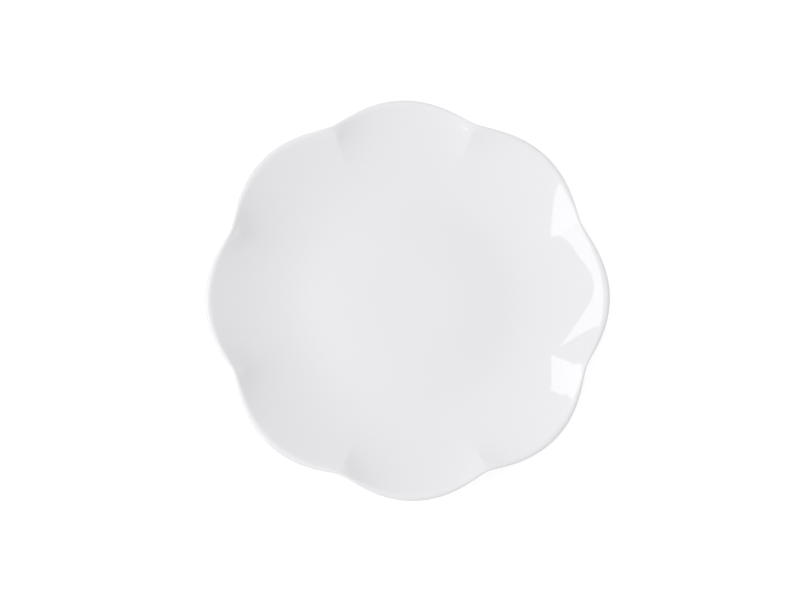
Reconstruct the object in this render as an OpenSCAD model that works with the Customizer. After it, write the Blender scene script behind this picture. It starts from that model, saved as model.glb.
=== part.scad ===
// Scalloped dessert plate: one fired porcelain body on a turned foot ring, its rim drawn out into
// cupped petals that meet in sharp ridges. A clear glaze lies over all of it but the standing band.

/* [Plate] */
// Width across two opposite petal tips
plate_d = 210; // [198:1:224]
// Height from the table to the lip at the petal tips
plate_h = 20.5; // [19:0.5:24]

/* [Well] */
// Diameter of the well, where its floor starts to turn up
well_d = 94; // [88:1:102]
// Height of the well's crowned middle above its edge
crown_h = 1.3; // [0.4:0.1:1.6]
// Radius of the level patch in the middle of the crown
crown_r = 17; // [12:1:20]
// Width of the bend in which the crown starts to fall away
crown_bend_w = 18; // [12:1:20]
// Width of the cove that turns the floor up into the rim
cove_w = 19; // [14:1:22]

/* [Petals] */
// Number of petals round the rim
petal_count = 8; // [6:1:10]
// Depth that the notch between two petals would have if it ended in a sharp point
cusp_depth = 7.9; // [5:0.1:9]
// Radius that rounds the notch at the lip
notch_r = 14; // [8:1:20]
// Length of the ridges between the petals, inwards from the lip
ridge_len = 46; // [38:1:47]
// Height of the ridges above the petals at the lip, if they had a sharp crest
ridge_h = 4; // [1:0.2:5]
// Radius that rounds the crest of a ridge in plan
ridge_r = 2; // [1:0.2:4]
// Radius that rounds the groove under a ridge in plan
groove_r = 9; // [6:1:12]
// Width of the band at the lip in which the crest softens into the notch
melt_w = 10.5; // [8:0.5:13]
// Width of the band, inwards from the lip, in which the petals grow steeper
petal_w = 56; // [50:1:60]
// Share of the petals' steepening that goes on right up to the lip, where the rest has eased off
curl_share = 0.15; // [0:0.05:0.5]
// Slope of the petals at the lip, in degrees
lip_tilt = 28; // [25:1:32]

/* [Wall] */
// Thickness of the glazed wall in the well
wall_t = 4; // [3.4:0.1:4.6]
// Thickness of the glazed lip
lip_t = 4.1; // [3.6:0.1:4.8]
// Radius on which the petal's upper face rolls over into the lip
roll_r = 4; // [3:0.2:5]
// Thickness of the glaze
glaze_t = 0.3; // [0.2:0.05:0.4]

/* [Foot] */
// Outer diameter of the glazed foot ring
foot_d = 112; // [106:1:118]
// Width of the glazed foot ring
foot_w = 4.4; // [3.8:0.1:6]
// Clear height under the wall at the edge of the well
foot_h = 2.6; // [2.3:0.1:3.4]
// Radius of the fillets between the foot ring and the wall
foot_root_r = 1.2; // [0.8:0.1:1.4]
// Radius that rounds both edges of the bare standing band
foot_round_r = 0.6; // [0.3:0.05:0.65]
// Height of the bare clay between the table and the edge of the glaze
bare_h = 0.7; // [0.65:0.05:0.9]

/* [Hidden] */

// Power of the ridges' growth from their inner end to the lip: 1 is even, more starts softer
ridge_growth = 2.9;
// Power of the fall of a ridge's side: 1 is a straight slope, 2 is a hollow one
ridge_hollow = 2.2;
// Steps round half a petal, close together near the ridges where the form turns fastest
half_petal_steps = 5;
// Steps of the lip's inner roll, and of each half of its outer edge
roll_steps = 2;
edge_steps = 2;
// Steps round each small arc of the foot
foot_steps = 2;
// Facets of the turned recess inside the foot ring
turned_facets = 120;
// Length by which a cut runs past the face that it opens
overrun = 1;

plate_r = plate_d / 2;
well_r = well_d / 2;
foot_r = foot_d / 2;
foot_in_r = foot_r - foot_w;
petal_angle = 360 / petal_count;
lip_slope = tan(lip_tilt);
petal_start_r = plate_r - petal_w;

// The ridges start from nothing on the wall, clear of the foot's root
ridge_start_r = max(foot_r + foot_root_r, plate_r - ridge_len);

// The lip rolls over on a large radius and turns under on a smaller one, which its thickness leaves
edge_r = (lip_t - roll_r * (1 - cos(lip_tilt))) / (1 + cos(lip_tilt));
lip_centre_r = plate_r - edge_r;

// The upper face ends where the lip's roll takes over, and this is its place there
face_end_r = lip_centre_r - roll_r * sin(lip_tilt);
face_end_z = plate_h - roll_r * (1 - cos(lip_tilt));
crown_z = foot_h + wall_t + crown_h;

// Height that a bend whose slope grows smoothly to 1 has gained at radius r
function bend(r, start, run) =
    let (t = (r - start) / run)
    t <= 0 ? 0 : run * (t >= 1 ? t - 1 / 2 : t * t * t - t * t * t * t / 2);

// Slope of that bend at radius r
function bend_slope(r, start, run) =
    let (t = min(1, max(0, (r - start) / run)))
    t * t * (3 - 2 * t);

// Height and slope of the petals' bend: partly that bend, partly one that steepens right up to the lip
function petal_share(r) = min(1, max(0, (r - petal_start_r) / petal_w));
function petal_bend(r) =
    (1 - curl_share) * bend(r, petal_start_r, petal_w)
    + curl_share * petal_w * pow(petal_share(r), 3) / 3;
function petal_slope(r) =
    (1 - curl_share) * bend_slope(r, petal_start_r, petal_w)
    + curl_share * pow(petal_share(r), 2);

// The crown's slope lets it fall by its height down to the edge of the well
crown_slope = crown_h / bend(well_r, crown_r, crown_bend_w);

// The straight slope between cove and petals is the one that brings the lip to its height
crown_reach = bend(face_end_r, crown_r, crown_bend_w);
cove_reach = bend(face_end_r, well_r, cove_w);
petal_reach = petal_bend(face_end_r);
flank_rise = face_end_z - crown_z + crown_slope * (crown_reach - cove_reach) - lip_slope * petal_reach;
flank_slope = flank_rise / (cove_reach - petal_reach);

// Height and slope of the glazed upper face along a petal's middle
function face_z(r) =
    crown_z
    - crown_slope * bend(r, crown_r, crown_bend_w)
    + (crown_slope + flank_slope) * bend(r, well_r, cove_w)
    + (lip_slope - flank_slope) * petal_bend(r);
function face_slope(r) =
    - crown_slope * bend_slope(r, crown_r, crown_bend_w)
    + (crown_slope + flank_slope) * bend_slope(r, well_r, cove_w)
    + (lip_slope - flank_slope) * petal_slope(r);
function face_normal(r) = [-face_slope(r), 1] / norm([face_slope(r), 1]);

// The wall goes evenly from its thickness in the well to that of the lip
function wall_at(r) = wall_t + (lip_t - wall_t) * max(0, r - well_r) / (face_end_r - well_r);

// A point of the section on the upper or the under face, sunk into the wall by a depth
function upper_point(r, depth) = [r, face_z(r)] - depth * face_normal(r);
function under_point(r, depth) = [r, face_z(r)] - (wall_at(r) - depth) * face_normal(r);

// Plan radius of the crest or groove between two petals, which softens into the notch at the lip
function melted(r, crease_r) =
    let (t = min(1, max(0, (r - plate_r + melt_w) / (melt_w - lip_t))))
    crease_r + (notch_r - crease_r) * t * t;

// A station of the section: its radius, its height, and the plan radius of the crease there
function station(point, crease_r) = [point[0], point[1], melted(point[0], crease_r)];

function steps(from, to, count) = [for (i = [1 : count]) from + (to - from) * i / count];
function reversed(list) = [for (i = [len(list) - 1 : -1 : 0]) list[i]];

upper_radii = concat(
    [crown_r],
    steps(crown_r, crown_r + crown_bend_w, 2),
    [well_r],
    steps(well_r, well_r + cove_w, 3),
    steps(well_r + cove_w, plate_r - melt_w, 4),
    steps(plate_r - melt_w, face_end_r, 3));
under_radii = steps(face_end_r, foot_r + foot_root_r, 6);

// The foot's root is a hollow quarter circle that starts from the under face
foot_root_z = under_point(foot_r + foot_root_r, 0)[1];
function foot_root_point(r, side, angle, depth) =
    [r + side * (foot_root_r - (foot_root_r + depth) * cos(angle)),
     foot_root_z - foot_root_r + (foot_root_r + depth) * sin(angle)];

// A point of the lip, on an arc whose top is at the lip's height, sunk by a depth
function lip_point(radius, angle, depth) =
    [lip_centre_r, plate_h - radius] + (radius - depth) * [cos(angle), sin(angle)];

// The section of the plate from the upper face over the lip and down to the glaze's edge on the foot
function glazed_section(depth) =
    concat(
        [for (r = upper_radii) station(upper_point(r, depth), ridge_r)],
        [for (angle = steps(90 + lip_tilt, 90, roll_steps))
            station(lip_point(roll_r, angle, depth), notch_r)],
        [for (angle = concat(steps(90, 0, edge_steps), steps(0, lip_tilt - 90, edge_steps)))
            station(lip_point(edge_r, angle, depth), notch_r)],
        [for (r = under_radii) station(under_point(r, depth), groove_r)],
        [for (angle = steps(90, 0, foot_steps))
            station(foot_root_point(foot_r, 1, angle, depth), groove_r)],
        [station([foot_r - depth, bare_h], groove_r)]);

// The bare clay below the glaze's edge, rounded into the standing band
function bare_section() =
    [for (angle = steps(0, 90, foot_steps))
        station([foot_r - glaze_t - foot_round_r * (1 - cos(angle)),
                 foot_round_r * (1 - sin(angle))], groove_r)];

// Shape of the petals round the rim: 1 at a petal's middle, near 0 at a crease of that plan radius
function lobe(angle, crease_r) =
    let (wave = cos(petal_count * angle / 2))
    let (soft = crease_r * cusp_depth * pow(petal_count / 2, 2) / pow(plate_r - cusp_depth, 2))
    sqrt((wave * wave + soft * soft) / (1 + soft * soft));

// A station carried round to an angle, drawn in towards the creases and lifted along the ridges
function placed(s, angle) =
    let (grown = pow(max(0, s[0] - ridge_start_r) / (plate_r - ridge_start_r), ridge_growth))
    let (fall = 1 - lobe(angle, s[2]))
    let (r = s[0] * (1 - grown * fall * cusp_depth / plate_r))
    [r * cos(angle), r * sin(angle), s[1] + ridge_h * grown * pow(fall, ridge_hollow)];

ring_angles = [
    for (petal = [0 : petal_count - 1])
        for (i = [-half_petal_steps : half_petal_steps - 1])
            petal_angle * (petal + sign(i) * sin(90 * abs(i) / half_petal_steps) / 2)];

// The two triangles of a four-sided patch, split along its shorter diagonal
function patch(points, a, b, c, d) =
    norm(points[a] - points[c]) < norm(points[b] - points[d])
        ? [[a, b, c], [a, c, d]]
        : [[a, b, d], [b, c, d]];

// A closed solid through a list of stations carried round the plate, with a point on the axis at each end
module lofted(stations, first_z, last_z) {
    around = len(ring_angles);
    rings = len(stations);
    last = rings * around + 1;
    points = concat(
        [[0, 0, first_z]],
        [for (s = stations) for (angle = ring_angles) placed(s, angle)],
        [[0, 0, last_z]]);
    caps = [for (j = [0 : around - 1])
        let (next = (j + 1) % around)
        each [[0, 1 + next, 1 + j], [last, last - around + j, last - around + next]]];
    walls = [for (i = [0 : rings - 2]) for (j = [0 : around - 1])
        let (here = 1 + i * around)
        let (next = (j + 1) % around)
        each patch(points, here + j, here + next, here + around + next, here + around + j)];
    polyhedron(points = points, faces = concat(caps, walls));
}

// Half section of the hollow inside the foot ring, from the axis out and down to the glaze's edge
function recess_section(depth) = concat(
    [for (r = concat([0, crown_r], steps(crown_r, crown_r + crown_bend_w, 2)))
        under_point(r, depth)],
    [for (angle = concat([90], steps(90, 0, 2 * foot_steps)))
        let (centre = [foot_in_r - foot_root_r, recess_root_z - foot_root_r])
        centre + (foot_root_r + depth) * [cos(angle), sin(angle)]],
    [[foot_in_r + depth, bare_h]]);
recess_root_z = under_point(foot_in_r - foot_root_r, 0)[1];

// The turned hollow that is cut into the clay, with the rounded inner edge of the standing band
module recess_cut() {
    band_in_r = foot_in_r + glaze_t + foot_round_r;
    rotate_extrude($fn = turned_facets)
        polygon(concat(
            recess_section(glaze_t),
            [for (angle = steps(0, 90, foot_steps))
                [band_in_r - foot_round_r * cos(angle), foot_round_r * (1 - sin(angle))]],
            [[band_in_r, -overrun], [0, -overrun]]));
}

// The fired clay: petalled shell, lip and foot in one piece
module porcelain_body() {
    color([0.87, 0.85, 0.82])
    difference() {
        lofted(concat(glazed_section(glaze_t), bare_section()), face_z(0) - glaze_t, 0);
        recess_cut();
    }
}

// The glaze on the upper face, the lip, the under face and the outside of the foot ring
module glaze_coat() {
    color([0.93, 0.93, 0.94])
    lofted(
        concat(glazed_section(0), reversed(glazed_section(glaze_t))),
        face_z(0),
        face_z(0) - glaze_t);
}

// The separate patch of glaze in the hollow inside the foot ring
module foot_recess_glaze() {
    color([0.92, 0.93, 0.94])
    rotate_extrude($fn = turned_facets)
        polygon(concat(recess_section(0), reversed(recess_section(glaze_t))));
}

porcelain_body();
glaze_coat();
foot_recess_glaze();
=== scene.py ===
# %% [markdown]
# # A scalloped dessert plate
#
# The plate is one piece of white porcelain with eight cupped petals round its rim. Three things on it
# are told apart: the fired clay, the glaze over nearly all of it, and the patch of glaze inside the foot
# ring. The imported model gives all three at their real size, in metres, with the table at height zero,
# but in flat facets. A glossy plate is a mirror, and a mirror shows every facet, so each of the three is
# made here again as a smooth surface from the same formula. We start with the frame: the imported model
# and its box.

# %% The frame
import math

import bpy
import numpy as np
from mathutils import Matrix, Vector


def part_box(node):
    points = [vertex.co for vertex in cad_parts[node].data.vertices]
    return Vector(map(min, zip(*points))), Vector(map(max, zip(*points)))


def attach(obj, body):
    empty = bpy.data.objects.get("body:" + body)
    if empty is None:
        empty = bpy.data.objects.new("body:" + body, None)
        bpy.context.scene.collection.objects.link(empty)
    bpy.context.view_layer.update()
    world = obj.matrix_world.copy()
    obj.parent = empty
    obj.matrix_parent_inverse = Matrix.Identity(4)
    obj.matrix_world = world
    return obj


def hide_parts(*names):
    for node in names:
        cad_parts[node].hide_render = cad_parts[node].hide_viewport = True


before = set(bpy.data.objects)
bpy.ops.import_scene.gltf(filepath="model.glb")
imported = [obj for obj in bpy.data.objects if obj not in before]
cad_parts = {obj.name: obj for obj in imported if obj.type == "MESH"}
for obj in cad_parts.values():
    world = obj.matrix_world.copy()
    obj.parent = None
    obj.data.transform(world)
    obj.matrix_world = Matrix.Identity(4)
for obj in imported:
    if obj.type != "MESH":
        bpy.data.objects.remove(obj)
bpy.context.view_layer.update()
scene = bpy.context.scene
print("packed nodes:", sorted(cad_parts))

# %% [markdown]
# ## Sizes
#
# A potter's drawing of a plate is half a section and a plan of the rim. These are the sizes on it, in
# metres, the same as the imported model's but for one: the ridges are 0.04 mm lower here, so that their
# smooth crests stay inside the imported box. The plan has eight petals, and the section is a level crown,
# a well, a cove, a straight flank and a petal that grows steeper towards its lip. The lip rolls over
# gently on its inner side, and more tightly at its outer edge.

# %% Sizes of the plate
MM = 0.001
PLATE_R = 105 * MM
PLATE_H = 20.5 * MM
WELL_R = 47 * MM
CROWN_H = 1.3 * MM
CROWN_R = 17 * MM
CROWN_BEND_W = 18 * MM
COVE_W = 19 * MM
PETAL_COUNT = 8
CUSP_DEPTH = 7.9 * MM
NOTCH_R = 14 * MM
RIDGE_LEN = 46 * MM
RIDGE_H = 3.96 * MM
RIDGE_R = 2.0 * MM
GROOVE_R = 9 * MM
MELT_W = 10.5 * MM
PETAL_W = 56 * MM
LIP_TILT = math.radians(28)
RIDGE_GROWTH = 2.9
RIDGE_HOLLOW = 2.2
PETAL_CURL = 0.15
WALL_T = 4.0 * MM
LIP_T = 4.1 * MM
ROLL_R = 4.0 * MM
GLAZE_T = 0.3 * MM
FOOT_R = 56 * MM
FOOT_W = 4.4 * MM
FOOT_H = 2.6 * MM
FOOT_ROOT_R = 1.2 * MM
FOOT_ROUND_R = 0.6 * MM
BARE_H = 0.7 * MM

FOOT_IN_R = FOOT_R - FOOT_W
RIDGE_START_R = PLATE_R - RIDGE_LEN
PETAL_START_R = PLATE_R - PETAL_W
LIP_SLOPE = math.tan(LIP_TILT)
EDGE_R = (LIP_T - ROLL_R * (1 - math.cos(LIP_TILT))) / (1 + math.cos(LIP_TILT))
FACE_END_R = PLATE_R - EDGE_R - ROLL_R * math.sin(LIP_TILT)
FACE_END_Z = PLATE_H - ROLL_R * (1 - math.cos(LIP_TILT))
CROWN_Z = FOOT_H + WALL_T + CROWN_H
packed_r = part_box("foot_recess_glaze")[1].x
print("outer radius of the hollow's glaze, mm, packed:", round(packed_r / MM, 2),
      "here:", round((FOOT_IN_R + GLAZE_T) / MM, 2))
print("radius of the lip's outer edge, mm:", round(EDGE_R / MM, 2))

# %% [markdown]
# ## The section
#
# A profile could be a spline through points, but a spline has no names for its bends. Here each bend is
# a slope that grows along a smooth step, and its height is the step's integral, which is a short
# polynomial. Adding three bends gives the upper face: one lets the crown fall, one turns the well up
# into the flank, and one steepens the petals. The flank's slope is the one that brings the lip to its
# height.

# %% Bends of the upper face
def bend(r, start, run):
    """Height gained by a slope that grows from 0 to 1 over `run` as t*t*(3 - 2*t), and then stays 1:
    run * (t**3 - t**4 / 2) inside the bend and run * (t - 1 / 2) past it, with t = (r - start) / run."""
    t = (np.asarray(r, float) - start) / run
    inside = np.clip(t, 0, 1)
    return run * (inside**3 - inside**4 / 2 + np.maximum(t - 1, 0))


def bend_slope(r, start, run):
    """Slope of that bend: the smooth step t*t*(3 - 2*t)."""
    t = np.clip((np.asarray(r, float) - start) / run, 0, 1)
    return t * t * (3 - 2 * t)


def petal_bend(r):
    """Height gained by the petal's slope, which grows by a mix of two laws: the smooth step, which eases off
    before the lip, and t*t, which keeps steepening up to it."""
    t = (np.asarray(r, float) - PETAL_START_R) / PETAL_W
    inside = np.clip(t, 0, 1)
    eased = inside**3 - inside**4 / 2
    return PETAL_W * (eased + PETAL_CURL * (inside**3 / 3 - eased) + np.maximum(t - 1, 0))


def petal_slope(r):
    """Slope of the petal's bend: (1 - c) * t*t*(3 - 2*t) + c * t*t."""
    t = np.clip((np.asarray(r, float) - PETAL_START_R) / PETAL_W, 0, 1)
    return t * t * (3 - 2 * t + PETAL_CURL * (2 * t - 2))


crown_slope = CROWN_H / bend(WELL_R, CROWN_R, CROWN_BEND_W)
crown_reach = bend(FACE_END_R, CROWN_R, CROWN_BEND_W)
cove_reach = bend(FACE_END_R, WELL_R, COVE_W)
petal_reach = petal_bend(FACE_END_R)
flank_rise = FACE_END_Z - CROWN_Z + crown_slope * (crown_reach - cove_reach) - LIP_SLOPE * petal_reach
flank_slope = flank_rise / (cove_reach - petal_reach)
print("slope of the flank, degrees:", round(math.degrees(math.atan(flank_slope)), 2))


# %% [markdown]
# The under face is the upper one moved through the wall, square to the face. A third function of the
# same kind gives any depth inside the wall, which is how the clay comes out smaller than the glaze all
# round.

# %% Points of the section
def face_point(r, drop):
    """The point of the upper face at radius r, moved down by `drop` along the face's own normal."""
    r = np.asarray(r, float)
    height = (
        CROWN_Z
        - crown_slope * bend(r, CROWN_R, CROWN_BEND_W)
        + (crown_slope + flank_slope) * bend(r, WELL_R, COVE_W)
        + (LIP_SLOPE - flank_slope) * petal_bend(r)
    )
    slope = (
        -crown_slope * bend_slope(r, CROWN_R, CROWN_BEND_W)
        + (crown_slope + flank_slope) * bend_slope(r, WELL_R, COVE_W)
        + (LIP_SLOPE - flank_slope) * petal_slope(r)
    )
    length = np.hypot(slope, 1)
    return np.stack([r + drop * slope / length, height - drop / length], -1)


def under_point(r, depth):
    """The point of the under face below radius r, sunk into the wall by `depth`. The wall's thickness goes
    evenly from the well's to the lip's."""
    share = np.maximum(0, np.asarray(r, float) - WELL_R) / (FACE_END_R - WELL_R)
    return face_point(r, WALL_T + (LIP_T - WALL_T) * share - depth)


def arc(centre, radius, start, end, count):
    """Points of a circle round `centre` from one angle to the other, in degrees, the first left out."""
    angle = np.radians(np.linspace(start, end, count + 1)[1:])
    return np.stack([centre[0] + radius * np.cos(angle), centre[1] + radius * np.sin(angle)], -1)


# %% [markdown]
# ## The petals
#
# In plan, the absolute value of a cosine has one round hump for each petal and a sharp cusp between two
# of them. Squaring it, adding a small number and taking the root rounds the cusp by as much as we like:
# hardly on the crest of a ridge, and much more where the ridge runs out into the notch at the lip.
# Points near a cusp are drawn in and lifted, and both grow from nothing at the ridges' inner end, so the
# well stays round.

# %% A point of the section carried round the plate
def crease_at(r, crease_r):
    """Plan radius of the crease at radius r: its own, melting into the notch's near the lip."""
    t = np.clip((r - PLATE_R + MELT_W) / (MELT_W - LIP_T), 0, 1)
    return crease_r + (NOTCH_R - crease_r) * t * t


def lobe(angle, crease_r):
    """sqrt((w*w + s*s) / (1 + s*s)), with w the petals' cosine wave and s the crease's softness."""
    wave = np.cos(PETAL_COUNT * angle / 2)
    soft = crease_r * CUSP_DEPTH * (PETAL_COUNT / 2) ** 2 / (PLATE_R - CUSP_DEPTH) ** 2
    return np.sqrt((wave**2 + soft**2) / (1 + soft**2))


def carried(section, crease_r, angles):
    """Grid of points, one row for each point (r, z) of the section and one column for each angle: the radius
    is drawn in by the lobe's fall, and the height is lifted by that fall to a power."""
    r, z = section[:, :1], section[:, 1:]
    grown = (np.maximum(0, r - RIDGE_START_R) / RIDGE_LEN) ** RIDGE_GROWTH
    fall = 1 - lobe(angles, crease_at(r, crease_r))
    drawn = r * (1 - grown * fall * CUSP_DEPTH / PLATE_R)
    lifted = z + RIDGE_H * grown * fall**RIDGE_HOLLOW
    return np.stack([drawn * np.cos(angles), drawn * np.sin(angles), lifted], -1)


# %% [markdown]
# Angles are closest together at the ridges, where the form turns within half a millimetre, and widest
# along the middle of a petal. A sine does that by itself.

# %% Angles round the plate
HALF_PETAL_STEPS = 20
half_petal = math.pi / PETAL_COUNT
steps = np.arange(-HALF_PETAL_STEPS, HALF_PETAL_STEPS)
petal_angles = half_petal * np.sign(steps) * np.sin(math.pi / 2 * np.abs(steps) / HALF_PETAL_STEPS)
angles = (np.arange(PETAL_COUNT)[:, None] * 2 * half_petal + petal_angles).ravel()
print("columns round the plate:", len(angles))


# %% [markdown]
# ## From a grid to a mesh
#
# Every piece of the plate is a closed skin: it starts at a point on the axis, runs out, round and back,
# and ends at another point on the axis. One function turns such rows of points into a mesh, with quads
# between the rows and a fan at each end, all facing outwards.

# %% A closed skin
def closed_skin(name, rows, first_z, last_z):
    """Mesh object through a grid of rows, closed by a fan to a point on the axis before its first row and
    after its last. Row i runs anticlockwise seen from above, so i, i + 1 and the angle give the outside."""
    row_count, around = rows.shape[:2]
    ends = np.array([[0, 0, first_z], [0, 0, last_z]])
    points = np.concatenate([rows.reshape(-1, 3), ends])
    here = np.arange(row_count * around).reshape(row_count, around)
    after = np.roll(here, -1, axis=1)
    quads = np.stack([here[:-1], here[1:], after[1:], after[:-1]], -1).reshape(-1, 4)
    first, last = row_count * around, row_count * around + 1
    head = np.stack([np.full(around, first), here[0], after[0]], -1)
    tail = np.stack([np.full(around, last), after[-1], here[-1]], -1)
    corners = np.concatenate([quads.ravel(), head.ravel(), tail.ravel()])
    sizes = np.concatenate([np.full(len(quads), 4), np.full(2 * around, 3)])
    mesh = bpy.data.meshes.new(name)
    mesh.vertices.add(len(points))
    mesh.vertices.foreach_set("co", points.astype(np.float32).ravel())
    mesh.loops.add(len(corners))
    mesh.loops.foreach_set("vertex_index", corners.astype(np.int32))
    mesh.polygons.add(len(sizes))
    mesh.polygons.foreach_set("loop_start", (np.cumsum(sizes) - sizes).astype(np.int32))
    mesh.polygons.foreach_set("use_smooth", np.ones(len(sizes), bool))
    mesh.update(calc_edges=True)
    mesh.validate()
    piece = bpy.data.objects.new(name, mesh)
    scene.collection.objects.link(piece)
    print(name, "has", len(points), "points and", int((sizes - 2).sum()), "triangles")
    return piece


# %% [markdown]
# ## Rows of the three pieces
#
# The glaze runs from the crown over the lip and down the outside of the foot ring. It was wiped from the
# foot before firing, so it ends in a small round bead just above the table. Its inner side is the same
# section, sunk by the glaze's thickness, and the clay has that very surface as its outer side.

# %% Rows of the glazed side
ROLL_STEPS = 10
EDGE_STEPS = 20
FOOT_STEPS = 6


def radii(start, end, step):
    """Even radii from start to end, about `step` apart, the first left out."""
    count = max(1, round(abs(end - start) / step))
    return np.linspace(start, end, count + 1)[1:]


def glazed_rows(depth, step):
    """Grid from the crown over the lip to the foot's outer wall, sunk by `depth`, with rows `step` apart."""
    upper = np.concatenate([radii(0, RIDGE_START_R, 2 * step), radii(RIDGE_START_R, FACE_END_R, step)])
    under = np.concatenate([radii(FACE_END_R, RIDGE_START_R, step),
                            radii(RIDGE_START_R, FOOT_R + FOOT_ROOT_R, 2 * step)])
    tilt = math.degrees(LIP_TILT)
    roll = arc((PLATE_R - EDGE_R, PLATE_H - ROLL_R), ROLL_R - depth, 90 + tilt, 90, ROLL_STEPS)
    edge = arc((PLATE_R - EDGE_R, PLATE_H - EDGE_R), EDGE_R - depth, 90, -90 + tilt, EDGE_STEPS)
    lip = np.concatenate([roll, edge])
    root_z = under_point(FOOT_R + FOOT_ROOT_R, 0)[1] - FOOT_ROOT_R
    root = arc((FOOT_R + FOOT_ROOT_R, root_z), FOOT_ROOT_R + depth, 90, 180, FOOT_STEPS)
    return np.concatenate([
        carried(face_point(upper, depth), RIDGE_R, angles),
        carried(lip, NOTCH_R, angles),
        carried(under_point(under, depth), GROOVE_R, angles),
        carried(root, GROOVE_R, angles),
    ])


def foot_rows(section):
    """Grid of a turned part of the foot: the section carried round in plain circles."""
    return carried(np.asarray(section, float), GROOVE_R, angles)


# %% [markdown]
# The outer side of the glaze is what mirrors the room, so its rows are close together. Its inner side
# lies on the clay, unseen, and gets wider ones. Joined end to end, the two sides make one thin closed
# skin.

# %% The glaze over the plate
GLAZE_STEP = 0.9 * MM
INNER_STEP = 1.6 * MM
bead = arc((FOOT_R - GLAZE_T, BARE_H + GLAZE_T), GLAZE_T, 0, -90, FOOT_STEPS)
outer_glaze = np.concatenate([
    glazed_rows(0, GLAZE_STEP),
    foot_rows([[FOOT_R, BARE_H + GLAZE_T]]),
    foot_rows(bead),
])
inner_glaze = glazed_rows(GLAZE_T, INNER_STEP)
crown_top = float(face_point(0, 0)[1])
glaze_coat = closed_skin(
    "glaze_over_plate",
    np.concatenate([outer_glaze, inner_glaze[::-1]]),
    crown_top,
    crown_top - GLAZE_T,
)


# %% [markdown]
# The hollow under the plate is turned, so its rows are plain circles. Its glaze is a shallow lid: a
# ceiling that follows the crown, a round corner, and a short wall that ends in the same kind of bead.

# %% The glaze inside the foot ring
def recess_section(depth):
    """Half section of the hollow, from near the axis out and down its wall to the glaze's edge."""
    flat = radii(0, FOOT_IN_R - FOOT_ROOT_R, 2 * GLAZE_STEP)
    root_z = under_point(FOOT_IN_R - FOOT_ROOT_R, 0)[1] - FOOT_ROOT_R
    root = arc((FOOT_IN_R - FOOT_ROOT_R, root_z), FOOT_ROOT_R + depth, 90, 0, FOOT_STEPS)
    ceiling = np.stack([flat, under_point(flat, depth)[:, 1]], -1)
    return np.concatenate([ceiling, root])


recess_bead = arc((FOOT_IN_R + GLAZE_T, BARE_H + GLAZE_T), GLAZE_T, 270, 180, FOOT_STEPS)
recess_top = float(under_point(0, GLAZE_T)[1])
recess_glaze = closed_skin(
    "glaze_in_foot_recess",
    np.concatenate([
        foot_rows(recess_section(GLAZE_T)),
        foot_rows([[FOOT_IN_R + GLAZE_T, BARE_H]]),
        foot_rows(recess_bead),
        foot_rows(recess_section(0)[::-1]),
    ]),
    recess_top,
    recess_top - GLAZE_T,
)

# %% [markdown]
# The clay fills all that the two glazes leave: the same rows, sunk by the glaze's thickness, joined
# under the foot by the bare band that the plate stands on, with both of its edges rounded.

# %% The clay
BAND_OUT_R = FOOT_R - GLAZE_T - FOOT_ROUND_R
BAND_IN_R = FOOT_IN_R + GLAZE_T + FOOT_ROUND_R
standing = radii(BAND_OUT_R, BAND_IN_R, FOOT_ROUND_R)
band = np.concatenate([
    [[FOOT_R - GLAZE_T, FOOT_ROUND_R]],
    arc((BAND_OUT_R, FOOT_ROUND_R), FOOT_ROUND_R, 0, -90, FOOT_STEPS),
    np.stack([standing, np.zeros(len(standing))], -1),
    arc((BAND_IN_R, FOOT_ROUND_R), FOOT_ROUND_R, -90, -180, FOOT_STEPS),
])
clay_body = closed_skin(
    "porcelain_clay",
    np.concatenate([inner_glaze, foot_rows(band), foot_rows(recess_section(GLAZE_T)[::-1])]),
    crown_top - GLAZE_T,
    recess_top,
)


# %% [markdown]
# ## Shader sums
#
# A material is a sum of small patterns. Writing each Math node by hand hides the sum, so one small class
# wraps a socket: adding or multiplying it places the node. Any other node comes from the graph's own
# method.

# %% A socket that can be added and multiplied
class Wire:
    """A number from a node's output, on which + - * work, from either side."""

    def __init__(self, graph, socket):
        self.graph, self.socket = graph, socket

    def _math(self, operation, first, second):
        node = self.graph.node("ShaderNodeMath", {"operation": operation}, {0: first, 1: second})
        return Wire(self.graph, node.outputs[0])

    def __add__(self, other):
        return self._math("ADD", self, other)

    def __sub__(self, other):
        return self._math("SUBTRACT", self, other)

    def __rsub__(self, other):
        return self._math("SUBTRACT", other, self)

    def __mul__(self, other):
        return self._math("MULTIPLY", self, other)

    __radd__ = __add__
    __rmul__ = __mul__


class Graph:
    """The node tree of one material or world, emptied, with one method that adds any node."""

    def __init__(self, owner):
        owner.use_nodes = True
        self.tree = owner.node_tree
        self.tree.nodes.clear()

    def node(self, kind, settings=None, sockets=None):
        """Adds a node of this kind, gives it its settings, then fills or links its sockets."""
        node = self.tree.nodes.new(kind)
        for name, value in (settings or {}).items():
            setattr(node, name, value)
        for name, value in (sockets or {}).items():
            if isinstance(value, Wire):
                self.tree.links.new(value.socket, node.inputs[name])
            elif isinstance(value, bpy.types.NodeSocket):
                self.tree.links.new(value, node.inputs[name])
            else:
                node.inputs[name].default_value = value
        return node

    def wire(self, node, output=0):
        """One output of a node, as a number to reckon with."""
        return Wire(self, node.outputs[output])

    def noise(self, coordinates, scale, detail, roughness=0.5):
        """A noise pattern, between 0 and 1, with about `scale` humps to the metre."""
        sockets = {"Vector": coordinates, "Scale": scale, "Detail": detail, "Roughness": roughness}
        return self.wire(self.node("ShaderNodeTexNoise", None, sockets))

    def smooth_step(self, value, start, end):
        """0 below start, 1 past end, and t*t*(3 - 2*t) between them."""
        sockets = {"Value": value, "From Min": start, "From Max": end}
        return self.wire(self.node("ShaderNodeMapRange", {"interpolation_type": "SMOOTHSTEP"}, sockets))


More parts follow.
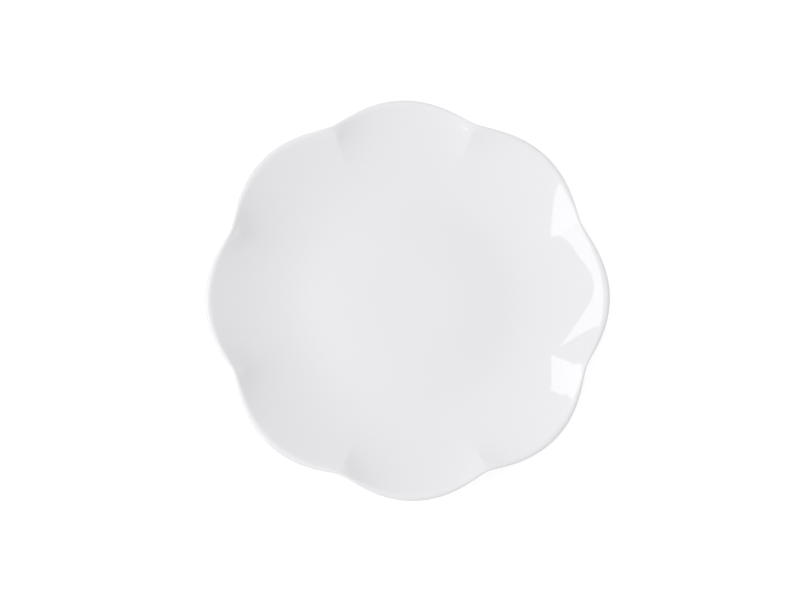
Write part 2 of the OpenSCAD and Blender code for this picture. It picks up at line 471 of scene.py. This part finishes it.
# %% [markdown]
# ## Glaze
#
# The glaze is clear glass over white clay. What we see is the clay's white with a sharp reflection on
# top, so a Principled surface with a white base and a low roughness is right, and quicker than real
# glass in layers. Three things keep it from looking like plastic: it isn't quite level, because glass
# that ran in the kiln has slow swells in it, its gloss changes a little from place to place, and its
# white is clouded a little at random. Its white is also painted a shade lighter on the slopes than in
# the well: painted light that makes up for the shade the tilted slopes get.

# %% A glaze
# Painted light: between these radii the white turns a shade lighter, which evens out the shade of the tilted
# slopes.
LIGHTENING_FROM = 30 * MM
LIGHTENING_TO = 66 * MM
LIGHTENING_SHARE = 0.8
CLOUD_SHARE = 0.4
CLOUD_SCALE = 22
SWELL_SCALE = 45
GLOSS_SCALE = 900
GLOSS_CHANGE = 0.01
GLAZE_IOR = 1.54


def glaze_material(name, lightened_white, inner_white, roughness, swell):
    """White glaze, painted a shade lighter on the slopes than in the well by the distance from the axis,
    which evens out the slopes' shade, and clouded at random by a slow noise, with slow swells in its
    surface and a fine change of gloss."""
    material = bpy.data.materials.new(name)
    g = Graph(material)
    place = g.node("ShaderNodeTexCoord").outputs["Object"]
    level = g.node("ShaderNodeVectorMath", {"operation": "MULTIPLY"}, {0: place, 1: (1, 1, 0)}).outputs[0]
    radius = g.node("ShaderNodeVectorMath", {"operation": "LENGTH"}, {0: level}).outputs["Value"]
    # Painted light: the white is darker near the axis and lighter out on the slopes; a slow noise clouds it
    # at random.
    slope_lightening = g.smooth_step(radius, LIGHTENING_FROM, LIGHTENING_TO)
    inner_share_and_cloud = LIGHTENING_SHARE - slope_lightening * LIGHTENING_SHARE + g.noise(place, CLOUD_SCALE, 1) * CLOUD_SHARE
    fine = g.noise(place, GLOSS_SCALE, 3)
    slow = g.noise(place, SWELL_SCALE, 1)
    colour = g.node("ShaderNodeMix", {"data_type": "RGBA"}, {"Factor": inner_share_and_cloud, 6: lightened_white, 7: inner_white})
    bump = g.node("ShaderNodeBump", None, {"Strength": 1.0, "Distance": swell, "Height": slow})
    surface = g.node("ShaderNodeBsdfPrincipled", None, {
        "Base Color": colour.outputs[2],
        "Roughness": roughness + (fine - 0.5) * GLOSS_CHANGE,
        "IOR": GLAZE_IOR,
        "Normal": bump.outputs[0],
    })
    g.node("ShaderNodeOutputMaterial", None, {"Surface": surface.outputs[0]})
    return material


# %% [markdown]
# ## Bare clay
#
# Only the band under the foot shows the clay. Fired and ground smooth, it is matt and warmer than the
# glaze, with a grain as fine as sugar, and grey rubs from the tables it has stood on. A colour alone
# would look like card, so one noise makes the grain, and a second one, with its low parts cut off, gives
# patches that are both greyer and a little smoother.

# %% Fired clay
CLAY_WHITE = (0.80, 0.77, 0.72, 1)
RUBBED_GREY = (0.60, 0.57, 0.53, 1)
GRAIN_SCALE = 3500
GRAIN_ROUGHNESS = 0.7
GRAIN_DEPTH = 0.03 * MM
RUB_SCALE = 260
RUB_ROUGHNESS = 0.6
RUB_FROM = 0.45
RUB_TO = 0.75
RUB_COLOUR = 0.6
RUB_POLISH = 0.25
CLAY_ROUGHNESS = 0.85


def clay_material(name):
    """Unglazed porcelain: matt, warm white, with a fine grain and faint grey rubs where it meets tables."""
    material = bpy.data.materials.new(name)
    g = Graph(material)
    place = g.node("ShaderNodeTexCoord").outputs["Object"]
    grain = g.noise(place, GRAIN_SCALE, 4, GRAIN_ROUGHNESS)
    rubs = g.noise(place, RUB_SCALE, 3, RUB_ROUGHNESS)
    ramp = g.node("ShaderNodeMapRange", None, {"Value": rubs, "From Min": RUB_FROM, "From Max": RUB_TO})
    rubbed = g.wire(ramp)
    colour = g.node("ShaderNodeMix", {"data_type": "RGBA"}, {
        "Factor": rubbed * RUB_COLOUR, 6: CLAY_WHITE, 7: RUBBED_GREY})
    bump = g.node("ShaderNodeBump", None, {"Strength": 1.0, "Distance": GRAIN_DEPTH, "Height": grain})
    surface = g.node("ShaderNodeBsdfPrincipled", None, {
        "Base Color": colour.outputs[2],
        "Roughness": CLAY_ROUGHNESS - rubbed * RUB_POLISH,
        "Normal": bump.outputs[0],
    })
    g.node("ShaderNodeOutputMaterial", None, {"Surface": surface.outputs[0]})
    return material


# %% [markdown]
# The glaze over the plate is as level and glossy as the potter could get it. In the hollow under the
# foot it lay where it fell: it is a little thicker, cooler and wavier there, and less of a mirror.

# %% The three finishes
# Each glaze has two whites. The first is painted on farther from the axis and is a shade lighter: painted
# light that evens out the slopes' shade. The second is nearer the axis.
LIGHTENED_WHITE = (0.803, 0.795, 0.815, 1)
INNER_WHITE = (0.795, 0.788, 0.808, 1)
GLAZE_ROUGHNESS = 0.02
GLAZE_SWELL = 0.01 * MM
HOLLOW_LIGHTENED_WHITE = (0.785, 0.79, 0.80, 1)
HOLLOW_INNER_WHITE = (0.77, 0.78, 0.79, 1)
HOLLOW_ROUGHNESS = 0.06
HOLLOW_SWELL = 0.04 * MM
white_glaze = glaze_material("white_glaze", LIGHTENED_WHITE, INNER_WHITE, GLAZE_ROUGHNESS, GLAZE_SWELL)
hollow_glaze = glaze_material("recess_glaze", HOLLOW_LIGHTENED_WHITE, HOLLOW_INNER_WHITE, HOLLOW_ROUGHNESS, HOLLOW_SWELL)
bare_clay = clay_material("bare_porcelain")
print("finishes:", [material.name for material in (white_glaze, hollow_glaze, bare_clay)])

# %% [markdown]
# ## Dressing the frame
#
# Each smooth piece takes the place of its imported node and rides on the same body. The imported
# node is hidden and takes the piece's finish.

# %% Pieces on the frame
for piece, node_name, slot_name, material in (
    (clay_body, "porcelain_body", "fired_clay", bare_clay),
    (glaze_coat, "glaze_coat", "white_glaze", white_glaze),
    (recess_glaze, "foot_recess_glaze", "recess_glaze", hollow_glaze),
):
    piece.data.materials.append(material)
    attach(piece, "root")
    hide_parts(node_name)
    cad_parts[node_name].data.materials.clear()
    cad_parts[node_name].data.materials.append(material)
    print(piece.name, "stands for", node_name, "with the finish", material.name)

# %% [markdown]
# ## Stage and light
#
# A white plate on white needs little: a pale floor, a soft sky, and one large window at the left, whose
# reflection draws the bright shapes on the right-hand petals. In the photograph the plate is turned a
# little on its table. The plate can't turn here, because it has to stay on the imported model, so the
# camera and the window are turned the other way round it.

# %% Directions of the picture
LEAN_X, LEAN_Y = -0.0628, -0.1575
PLATE_TURN = 0.0289
back = Vector((LEAN_X, LEAN_Y, math.sqrt(1 - LEAN_X**2 - LEAN_Y**2)))
right = Vector((0, 1, 0)).cross(back).normalized()
up = back.cross(right)
unturn = Matrix.Rotation(-PLATE_TURN, 3, "Z")
print("the camera leans, degrees:", round(math.degrees(math.acos(back.z)), 1))


# %% A panel of the stage
def flat_panel(name, corners):
    """One face through the corners."""
    mesh = bpy.data.meshes.new(name)
    mesh.from_pydata([tuple(corner) for corner in corners], [], [tuple(range(len(corners)))])
    panel = bpy.data.objects.new(name, mesh)
    scene.collection.objects.link(panel)
    return panel


# %% [markdown]
# A floor bright enough to look white would light the plate from below. So this one is a mid grey that
# also glows, but only for camera, glossy and transmission rays: it looks white, also in the glaze, and
# its glow lights nothing. The grey still takes the plate's shadow. From below, where it would hide the
# foot, the floor is clear. It lies a tenth of a millimetre under the foot, so that the two faces don't
# fight.

# %% Floor
FLOOR_HALF = 3.0
FLOOR_DROP = 0.1 * MM
FLOOR_GREY = (0.5, 0.5, 0.5, 1)
FLOOR_GLOW = 0.665
floor = flat_panel("floor", [
    (x * FLOOR_HALF, y * FLOOR_HALF, -FLOOR_DROP) for x, y in ((-1, -1), (1, -1), (1, 1), (-1, 1))])
floor_material = bpy.data.materials.new("floor_white")
g = Graph(floor_material)
path = g.node("ShaderNodeLightPath")
seen = g.wire(path, "Is Camera Ray") + g.wire(path, "Is Glossy Ray") + g.wire(path, "Is Transmission Ray")
diffuse = g.node("ShaderNodeBsdfDiffuse", None, {"Color": FLOOR_GREY})
glow = g.node("ShaderNodeEmission", None, {"Color": (1, 1, 1, 1), "Strength": seen * FLOOR_GLOW})
lit = g.node("ShaderNodeAddShader", None, {0: diffuse.outputs[0], 1: glow.outputs[0]})
below = g.node("ShaderNodeNewGeometry").outputs["Backfacing"]
clear = g.node("ShaderNodeBsdfTransparent")
both = g.node("ShaderNodeMixShader", None, {0: below, 1: lit.outputs[0], 2: clear.outputs[0]})
g.node("ShaderNodeOutputMaterial", None, {"Surface": both.outputs[0]})
floor.data.materials.append(floor_material)
print("floor, metres across:", 2 * FLOOR_HALF)

# %% [markdown]
# A studio is never quite even. This sky is a little brighter at the right and towards the horizon, and
# has a darker patch low at the right, like a far wall: the left-hand petals and creases mirror it. All
# of it is worked out from the three parts of the direction. The camera itself sees plain white.

# %% Sky
SKY = 0.775
SKY_LEAN_X = 0.205
SKY_LEAN_Y = 0.02
SKY_EDGE = 0.235
FAR_WALL_SHADE = 0.41
FAR_WALL_X = (0.3, 0.9)
FAR_WALL_TOP = (0.25, 0.6)
world = bpy.data.worlds.new("even_sky")
scene.world = world
g = Graph(world)
path = g.node("ShaderNodeLightPath")
seen = g.wire(path, "Is Camera Ray")
toward = g.node("ShaderNodeSeparateXYZ", None, {0: g.node("ShaderNodeTexCoord").outputs["Generated"]})
sideways, onward, upward = (g.wire(toward, axis) for axis in "XYZ")
far_wall = g.smooth_step(sideways, *FAR_WALL_X) * (1 - g.smooth_step(upward, *FAR_WALL_TOP))
light = (sideways * SKY_LEAN_X + onward * SKY_LEAN_Y + (1 - upward) * SKY_EDGE
         - far_wall * FAR_WALL_SHADE + SKY)
sky = g.node("ShaderNodeBackground", None, {"Color": (1, 1, 1, 1), "Strength": light + seen * (1 - light)})
g.node("ShaderNodeOutputWorld", None, {"Surface": sky.outputs[0]})
print("sky overhead:", SKY)

# %% [markdown]
# An area lamp is a rectangle, but the bright shapes on the petals belong to a window with an uneven top
# and foot. It is one glowing face, upright at the left. Its corners are written as the sideways
# and the upward part of a direction from the plate, and are multiplied by the window's distance.

# %% The window
WINDOW_X = -1.5
WINDOW_TOP = [
    (-1.1, 0.84), (-0.84, 0.866), (-0.83, 1.25), (-0.61, 1.25), (-0.6, 0.89),
    (-0.32, 1.065), (-0.03, 1.09), (0.26, 1.135), (0.55, 1.28), (0.87, 1.35)]
WINDOW_FOOT = [(0.68, 0.94), (0.46, 0.665), (0.225, 0.29), (0.2, 0.2), (0.0, 0.24), (-0.9, 0.42)]
WINDOW_RADIANCE = 3.0
window = flat_panel("window", [
    unturn @ Vector((WINDOW_X, -WINDOW_X * y, -WINDOW_X * z)) for y, z in WINDOW_TOP + WINDOW_FOOT])
window_material = bpy.data.materials.new("window_light")
g = Graph(window_material)
shine = g.node("ShaderNodeEmission", None, {"Color": (1, 1, 1, 1), "Strength": WINDOW_RADIANCE})
g.node("ShaderNodeOutputMaterial", None, {"Surface": shine.outputs[0]})
window.data.materials.append(window_material)
window.visible_camera = False
print("the window has", len(window.data.vertices), "corners")

# %% [markdown]
# ## Camera
#
# The photograph was taken from almost straight above, leaning a little towards the lower left. The
# outline's scale on the picture fixes the lens for a chosen distance.

# %% Camera
PICTURE_W, PICTURE_H = 800, 600
SENSOR_W = 36
CAMERA_DISTANCE = 1.2
PIXELS_PER_METRE = 1903
CENTRE_X, CENTRE_Y = 406.4, 303.6
camera_data = bpy.data.cameras.new("camera")
camera = bpy.data.objects.new("camera", camera_data)
camera_turn = Matrix((unturn @ right, unturn @ up, unturn @ back)).transposed().to_4x4()
camera.matrix_world = Matrix.Translation(unturn @ back * CAMERA_DISTANCE) @ camera_turn
camera_data.sensor_width = SENSOR_W
camera_data.lens = PIXELS_PER_METRE * CAMERA_DISTANCE * SENSOR_W / PICTURE_W
camera_data.shift_x = (PICTURE_W / 2 - CENTRE_X) / PICTURE_W
camera_data.shift_y = (CENTRE_Y - PICTURE_H / 2) / PICTURE_W
scene.collection.objects.link(camera)
scene.camera = camera
scene.view_settings.view_transform = "Standard"
print("lens, mm:", round(camera_data.lens, 1))
